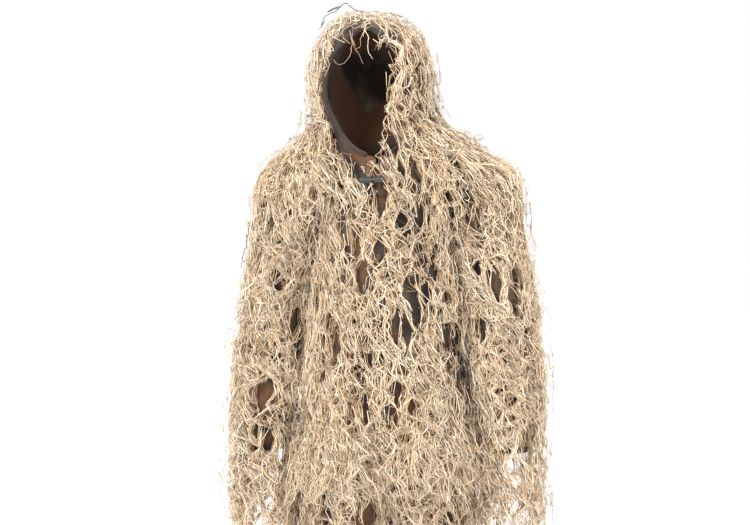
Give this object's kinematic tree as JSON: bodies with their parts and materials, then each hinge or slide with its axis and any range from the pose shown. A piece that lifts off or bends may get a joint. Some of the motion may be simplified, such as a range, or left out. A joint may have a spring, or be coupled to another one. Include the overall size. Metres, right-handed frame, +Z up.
{
  "type": "ghillie suit",
  "caption": "Hooded camouflage suit covered in loose tan yarn: a snap-front jacket with hood and sleeves over matching trousers, in its worn, hollow shape.",
  "frame": {"origin": "on the floor, midway between the trouser legs", "axes": "+Z up, the front of the suit faces -Y, the wearer's left is +X"},
  "size_m": [0.7582, 0.3887, 1.895],
  "materials": {
    "base_fabric": "woven camouflage cloth, matt",
    "yarn": "loose kinky jute-like yarn, matt",
    "webbing": "dark woven tape, matt",
    "elastic": "covered elastic, matt",
    "cord": "braided cord, matt",
    "lock_plastic": "moulded, satin",
    "spring_steel": "bright wire",
    "snap_metal": "darkened brass, satin"
  },
  "bodies": {
    "trousers": {"trouser_seat": "base_fabric", "waistband": "webbing", "waist_elastic": "elastic", "waist_drawcord": "cord", "crotch_gusset": "base_fabric", "waist_eyelets": "snap_metal", "yarn_seat": "yarn"},
    "waist_lock": {"waist_cord_lock": "lock_plastic", "waist_lock_spring": "spring_steel"},
    "waist_button": {"waist_lock_button": "lock_plastic"},
    "thigh_left": {"thigh_left": "base_fabric", "yarn_thigh_left": "yarn"},
    "thigh_right": {"thigh_right": "base_fabric", "yarn_thigh_right": "yarn"},
    "shin_left": {"shin_left": "base_fabric", "yarn_shin_left": "yarn", "ankle_elastic_left": "elastic"},
    "shin_right": {"shin_right": "base_fabric", "yarn_shin_right": "yarn", "ankle_elastic_right": "elastic"},
    "jacket": {"jacket_back": "base_fabric", "yarn_jacket_back": "yarn", "hanger_loop": "webbing", "hood_cord_ends": "cord"},
    "front_left": {"front_panel_left": "base_fabric", "yarn_front_left": "yarn", "placket_left": "webbing", "snap_caps": "snap_metal", "snap_sockets": "snap_metal"},
    "front_right": {"front_panel_right": "base_fabric", "yarn_front_right": "yarn", "placket_right": "webbing", "snap_studs": "snap_metal", "snap_posts": "snap_metal"},
    "hood": {"hood_shell": "base_fabric", "yarn_hood": "yarn", "hood_binding": "webbing", "hood_drawcord": "cord"},
    "hood_lock_left": {"cord_lock_left": "lock_plastic", "lock_spring_left": "spring_steel"},
    "hood_button_left": {"lock_button_left": "lock_plastic"},
    "hood_lock_right": {"cord_lock_right": "lock_plastic", "lock_spring_right": "spring_steel"},
    "hood_button_right": {"lock_button_right": "lock_plastic"},
    "armhole_left": {"armhole_tape_left": "webbing"},
    "armhole_right": {"armhole_tape_right": "webbing"},
    "upper_arm_left": {"sleeve_upper_left": "base_fabric", "yarn_sleeve_upper_left": "yarn"},
    "upper_arm_right": {"sleeve_upper_right": "base_fabric", "yarn_sleeve_upper_right": "yarn"},
    "forearm_left": {"sleeve_lower_left": "base_fabric", "yarn_sleeve_lower_left": "yarn", "cuff_elastic_left": "elastic"},
    "forearm_right": {"sleeve_lower_right": "base_fabric", "yarn_sleeve_lower_right": "yarn", "cuff_elastic_right": "elastic"}
  },
  "joints": [
    {"name": "jacket_lift", "type": "slide", "parent": "trousers", "child": "jacket", "axis": [0, 0, 1], "range_m": [0, 0.3]},
    {"name": "hood_fold", "type": "hinge", "parent": "jacket", "child": "hood", "pos_m": [0, 0.15, 1.6], "axis": [-1, 0, 0], "range_deg": [0, 100]},
    {"name": "front_left_open", "type": "hinge", "parent": "jacket", "child": "front_left", "pos_m": [0.136, -0.142, 1.2], "axis": [0, 0, 1], "range_deg": [0, 70]},
    {"name": "front_right_open", "type": "hinge", "parent": "jacket", "child": "front_right", "pos_m": [-0.136, -0.142, 1.2], "axis": [0, 0, -1], "range_deg": [0, 35]},
    {"name": "waist_lock_slide", "type": "slide", "parent": "trousers", "child": "waist_lock", "axis": [0, 0, 1], "range_m": [-0.025, 0.04]},
    {"name": "waist_button_press", "type": "slide", "parent": "waist_lock", "child": "waist_button", "axis": [-1, 0, 0], "range_m": [0, 0.003], "stiffness_N_per_m": 100, "deforming": ["waist_lock_spring"]},
    {"name": "shoulder_swing_left", "type": "hinge", "parent": "jacket", "child": "armhole_left", "pos_m": [0.215, 0, 1.455], "axis": [-1, 0, 0], "range_deg": [-30, 90]},
    {"name": "shoulder_raise_left", "type": "hinge", "parent": "armhole_left", "child": "upper_arm_left", "pos_m": [0.215, 0, 1.455], "axis": [0, -1, 0], "range_deg": [0, 90]},
    {"name": "elbow_bend_left", "type": "hinge", "parent": "upper_arm_left", "child": "forearm_left", "pos_m": [0.268, -0.025, 1.155], "axis": [-1, 0, 0], "range_deg": [0, 90]},
    {"name": "hip_bend_left", "type": "hinge", "parent": "trousers", "child": "thigh_left", "pos_m": [0.09, 0, 0.88], "axis": [-1, 0, 0], "range_deg": [-15, 40]},
    {"name": "knee_bend_left", "type": "hinge", "parent": "thigh_left", "child": "shin_left", "pos_m": [0.105, 0.02, 0.48], "axis": [1, 0, 0], "range_deg": [0, 90]},
    {"name": "hood_lock_slide_left", "type": "slide", "parent": "jacket", "child": "hood_lock_left", "axis": [0, 0, 1], "range_m": [-0.014, 0.025]},
    {"name": "hood_button_press_left", "type": "slide", "parent": "hood_lock_left", "child": "hood_button_left", "axis": [-1, 0, 0], "range_m": [0, 0.003], "stiffness_N_per_m": 100, "deforming": ["lock_spring_left"]},
    {"name": "shoulder_swing_right", "type": "hinge", "parent": "jacket", "child": "armhole_right", "pos_m": [-0.215, 0, 1.455], "axis": [-1, 0, 0], "range_deg": [-30, 90]},
    {"name": "shoulder_raise_right", "type": "hinge", "parent": "armhole_right", "child": "upper_arm_right", "pos_m": [-0.215, 0, 1.455], "axis": [0, 1, 0], "range_deg": [0, 90]},
    {"name": "elbow_bend_right", "type": "hinge", "parent": "upper_arm_right", "child": "forearm_right", "pos_m": [-0.268, -0.025, 1.155], "axis": [-1, 0, 0], "range_deg": [0, 90]},
    {"name": "hip_bend_right", "type": "hinge", "parent": "trousers", "child": "thigh_right", "pos_m": [-0.09, 0, 0.88], "axis": [-1, 0, 0], "range_deg": [-15, 40]},
    {"name": "knee_bend_right", "type": "hinge", "parent": "thigh_right", "child": "shin_right", "pos_m": [-0.105, 0.02, 0.48], "axis": [1, 0, 0], "range_deg": [0, 90]},
    {"name": "hood_lock_slide_right", "type": "slide", "parent": "jacket", "child": "hood_lock_right", "axis": [0, 0, 1], "range_m": [-0.014, 0.025]},
    {"name": "hood_button_press_right", "type": "slide", "parent": "hood_lock_right", "child": "hood_button_right", "axis": [1, 0, 0], "range_m": [0, 0.003], "stiffness_N_per_m": 100, "deforming": ["lock_spring_right"]}
  ],
  "couplings": [
    {"joint": "front_right_open", "follows": "front_left_open", "ratio": 0.5}
  ]
}
